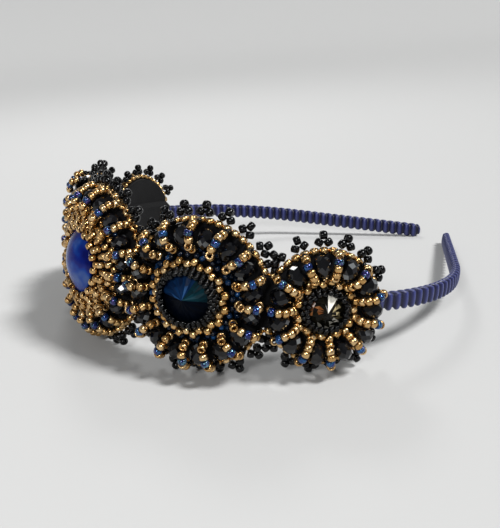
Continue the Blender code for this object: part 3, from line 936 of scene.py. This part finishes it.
def build_edging(name, side, looks):
    """The gold row round the outline, and the black picots of three beads outside it."""
    gold = Beads("edge_beads_" + name, SEED, looks["gold"], "gold")
    for along, across, out_along, out_across in outline(0, EDGE_END_HALF_WIDTH, EDGE_PITCH):
        centre = bend(along, side * across, EDGE_HEIGHT)
        outward = bend(along + out_along * NUDGE, side * (across + out_across * NUDGE), EDGE_HEIGHT) - centre
        gold.add(centre, outward + wobble(EDGE_WOBBLE) * outward.length, EDGE_BEAD)
    gold.build("edge_row_" + name)
    jet = Beads("picot_beads_" + name, ROUND_SEED, looks["jet"], "jet")
    lowest = PICOT_BEAD[0] + PICOT_FLOOR_GAP
    for row in outline(0, PICOT_END_HALF_WIDTH, PICOT_PITCH):
        lean = PICOT_LEAN + random.uniform(-PICOT_LEAN_STRAY, PICOT_LEAN_STRAY)
        while picot_place(row, side, lean, PICOT_TIP_REACH, 0).z < lowest and lean < pi / 2:
            lean += PICOT_LEAN_STEP
        for spread in (-PICOT_BASE_SPREAD, PICOT_BASE_SPREAD):
            centre = picot_place(row, side, lean, PICOT_BASE_REACH, spread)
            ahead = picot_place(row, side, lean, PICOT_BASE_REACH + 2 * NUDGE, spread / 2)
            jet.add(centre, ahead - centre, PICOT_BEAD)
        tip = picot_place(row, side, lean, PICOT_TIP_REACH, 0)
        jet.add(tip, picot_place(row, side, lean, PICOT_TIP_REACH, 2 * NUDGE) - tip, PICOT_BEAD)
    jet.build("picots_" + name)


def cord_section(angle):
    """The stadium outline of the wound band, as (across, out), with 0 on its outer face."""
    corner = BAND_THICKNESS / 2 - CORD_RIDGE
    half = BAND_WIDTH / 2 - BAND_THICKNESS / 2
    stretch = max(-1.0, min(1.0, sin(angle) * CORD_FLATNESS))
    return half * stretch + corner * sin(angle), corner * cos(angle)


def cord_slant(angle):
    """How far a turn has moved on, as a share of the pitch: it hooks over the top edge."""
    half_turns = (angle % (2 * pi)) / pi
    places, shares = zip(*CORD_HOOK)
    return float(np.interp(half_turns, places, shares))


def tip_scale(along):
    """How much the section shrinks at a rounded tip."""
    back = min(BAND_LENGTH - abs(along), TIP_ROUNDING)
    return sqrt(max(LEAST_TIP, 1 - (1 - back / TIP_ROUNDING) ** 2))


def build_cord(material):
    """The band wound with cord, each turn a round ridge with a deep furrow on both sides."""
    turns = 2 * BAND_LENGTH / CORD_PITCH
    rings = int(turns * CORD_STEPS)
    verts = []
    uvs = []
    for ring in range(rings + 1):
        along = BAND_LENGTH * (1 - 2 * ring / rings) * CORD_END
        scale = tip_scale(along)
        for side in range(CORD_SIDES):
            angle = 2 * pi * side / CORD_SIDES
            across, out = cord_section(angle)
            phase = along / CORD_PITCH + cord_slant(angle)
            off_middle = 2 * (phase % 1.0) - 1
            grow = CORD_RIDGE * sqrt(max(0.0, 1 - (off_middle / CORD_SHARE) ** 2))
            across = (across + grow * sin(angle)) * scale
            out = (out + grow * cos(angle)) * scale
            point = round_band(along, across, out)
            point.z = max(point.z, 0.0)
            verts.append(point)
            uvs.append((phase, side / CORD_SIDES))
    faces = []
    for ring in range(rings):
        for side in range(CORD_SIDES):
            here = ring * CORD_SIDES
            after = (side + 1) % CORD_SIDES
            faces.append((here + side, here + after, here + CORD_SIDES + after, here + CORD_SIDES + side))
    faces.append(tuple(reversed(range(CORD_SIDES))))
    faces.append(tuple(rings * CORD_SIDES + side for side in range(CORD_SIDES)))
    mesh = bpy.data.meshes.new("wound_cord")
    mesh.from_pydata(verts, [], faces)
    mesh.polygons.foreach_set("use_smooth", [True] * len(mesh.polygons))
    layer = mesh.uv_layers.new(name="UVMap")
    for face in mesh.polygons:
        for corner, index in zip(face.loop_indices, face.vertices):
            u, v = uvs[index]
            if v == 0.0 and face.index % CORD_SIDES == CORD_SIDES - 1:
                u, v = u + 1.0, 1.0
            layer.data[corner].uv = (u, v)
    place_piece("wound_cord", mesh, material, "cord", "wrapped_band")


def build_sheet(name, columns, thickness, material, slot, replaced):
    """A sheet through columns of places on its middle face, with its thickness and soft edges."""
    bm = bmesh.new()
    rows = [[bm.verts.new(point) for point in column] for column in columns]
    for left, right in zip(rows, rows[1:]):
        for index in range(len(left) - 1):
            face = bm.faces.new((left[index], left[index + 1], right[index + 1], right[index]))
            face.smooth = True
    bmesh.ops.recalc_face_normals(bm, faces=bm.faces)
    mesh = bpy.data.meshes.new(name)
    bm.to_mesh(mesh)
    bm.free()
    obj = place_piece(name, mesh, material, slot, replaced)
    solid = obj.modifiers.new("thickness", "SOLIDIFY")
    solid.thickness = thickness
    solid.offset = 0
    bevel = obj.modifiers.new("soft edge", "BEVEL")
    bevel.width = thickness * SOFT_EDGE
    bevel.segments = 2
    return obj


def build_cloth(looks):
    """The felt base and the suede lining, finer than in the model and softly uneven."""
    felt_places = outline(CLOTH_INSET, EDGE_END_HALF_WIDTH, CLOTH_PITCH)
    suede_places = outline(CLOTH_INSET, LINING_END_HALF_WIDTH, CLOTH_PITCH)
    middle = LINING_THICKNESS / 2
    edge_height = -BASE_THICKNESS - GAP - middle
    channel_height = -BASE_FACE - BAND_THICKNESS / 2 - GAP - middle
    felt = []
    for along, across, _, _ in felt_places:
        spots = [across * (2 * step / FELT_ROWS - 1) for step in range(FELT_ROWS + 1)]
        felt.append([bend(along, spot, -BASE_THICKNESS / 2) for spot in spots])
    suede = []
    for along, across, _, _ in suede_places:
        flat = across - CHANNEL_HALF_WIDTH - CHANNEL_SLOPE
        upper = [(0, channel_height), (CHANNEL_HALF_WIDTH * CHANNEL_FLAT_SHARE, channel_height),
                 (CHANNEL_HALF_WIDTH, channel_height + CHANNEL_DIP),
                 (CHANNEL_HALF_WIDTH + CHANNEL_SLOPE / 2, (channel_height + edge_height) / 2)]
        for step in range(LINING_ROWS + 1):
            upper.append((CHANNEL_HALF_WIDTH + CHANNEL_SLOPE + flat * step / LINING_ROWS, edge_height))
        both = [(-spot, height) for spot, height in reversed(upper[1:])] + upper
        sags = [SAG * sin(along * SAG_WAVES[0]) * sin(spot * SAG_WAVES[1]) for spot, _ in both]
        suede.append([bend(along, spot, height + sag) for (spot, height), sag in zip(both, sags)])
    base = build_sheet("felt_base", felt, BASE_THICKNESS, looks["felt"], "felt", "embroidery_base")
    lining = build_sheet("suede_back", suede, LINING_THICKNESS, looks["suede"], "suede", "suede_lining")


def build_floor():
    """A pale table that curves up into a backdrop."""
    made = new_material("table", (0.48, 0.48, 0.475), roughness=0.9, Specular_IOR_Level=0.1)
    profile = [(-FLOOR_REACH, 0.0), (BACKDROP_START, 0.0)]
    for step in range(1, BACKDROP_STEPS + 1):
        angle = pi / 2 * step / BACKDROP_STEPS
        profile.append((BACKDROP_START + BACKDROP_RADIUS * sin(angle), BACKDROP_RADIUS * (1 - cos(angle))))
    profile.append((BACKDROP_START + BACKDROP_RADIUS, BACKDROP_HEIGHT))
    heading = Vector((-cos(CAMERA_HEADING), sin(CAMERA_HEADING), 0))
    across = Vector((-heading.y, heading.x, 0))
    verts = []
    for distance, height in profile:
        for side in (-FLOOR_REACH, FLOOR_REACH):
            verts.append(heading * distance + across * side + Vector((0, 0, height)))
    faces = [(2 * row, 2 * row + 1, 2 * row + 3, 2 * row + 2) for row in range(len(profile) - 1)]
    mesh = bpy.data.meshes.new("table")
    mesh.from_pydata(verts, [], faces)
    mesh.polygons.foreach_set("use_smooth", [True] * len(mesh.polygons))
    mesh.materials.append(made)
    obj = bpy.data.objects.new("table", mesh)
    bpy.context.scene.collection.objects.link(obj)


def build_light(name, kind, place, looks):
    """A light that faces the headband."""
    data = bpy.data.lights.new(name, kind)
    for key, value in looks.items():
        setattr(data, key, value)
    obj = bpy.data.objects.new(name, data)
    obj.location = place
    obj.rotation_euler = (Vector(LIGHT_TARGET) - Vector(place)).to_track_quat("-Z", "Y").to_euler()
    bpy.context.scene.collection.objects.link(obj)


def build_studio():
    """The sky and the lights."""
    world = bpy.data.worlds.new("studio")
    bpy.context.scene.world = world
    world.use_nodes = True
    sky = world.node_tree.nodes["Background"]
    sky.inputs["Color"].default_value = (*SKY_COLOUR, 1.0)
    sky.inputs["Strength"].default_value = SKY_STRENGTH
    for row in LIGHTS:
        build_light(**row)


def build_camera():
    """The photograph's view of the headband."""
    data = bpy.data.cameras.new("camera")
    data.sensor_width = SENSOR_WIDTH
    data.lens = SENSOR_WIDTH * FOCAL_PIXELS / LONG_SIDE_PIXELS
    data.clip_start = 0.01
    ahead = Vector((-cos(CAMERA_HEADING), sin(CAMERA_HEADING), 0)) * cos(CAMERA_PITCH)
    ahead.z = -sin(CAMERA_PITCH)
    turn = ahead.to_track_quat("-Z", "Y").to_matrix().to_4x4() @ Matrix.Rotation(CAMERA_ROLL, 4, "Z")
    obj = bpy.data.objects.new("camera", data)
    obj.matrix_world = Matrix.Translation(CAMERA_PLACE) @ turn
    bpy.context.scene.collection.objects.link(obj)
    bpy.context.scene.camera = obj


def main():
    looks = {
        "gold": gold_material(),
        "blue": blue_material(),
        "jet": jet_material(),
        "petrol": petrol_bead_material(),
        "rondelle": rondelle_material(),
        "royal": royal_material(),
        "petrol_stone": cut_stone_material("petrol stone", PETROL_STOPS, roughness=0.35, ior=1.10),
        "smoke": cut_stone_material("smoke stone", SMOKE_STOPS, roughness=0.08, ior=1.20),
        "cord": cord_material(),
        "felt": suede_material("felt", (0.0012, 0.0012, 0.0018), (0.005, 0.005, 0.006), nap_scale=1500),
        "suede": suede_material("suede", (0.0018, 0.0018, 0.002), (0.006, 0.006, 0.0066), nap_scale=2200),
    }
    build_floor()
    build_cord(looks["cord"])
    build_cloth(looks)
    for name, side in (("upper", 1), ("lower", -1)):
        build_edging(name, side, looks)
    for name, sizes, place in medallions():
        build_medallion(name, sizes, place, looks)
    build_studio()
    build_camera()
    bpy.context.scene.view_settings.view_transform = "Standard"


main()
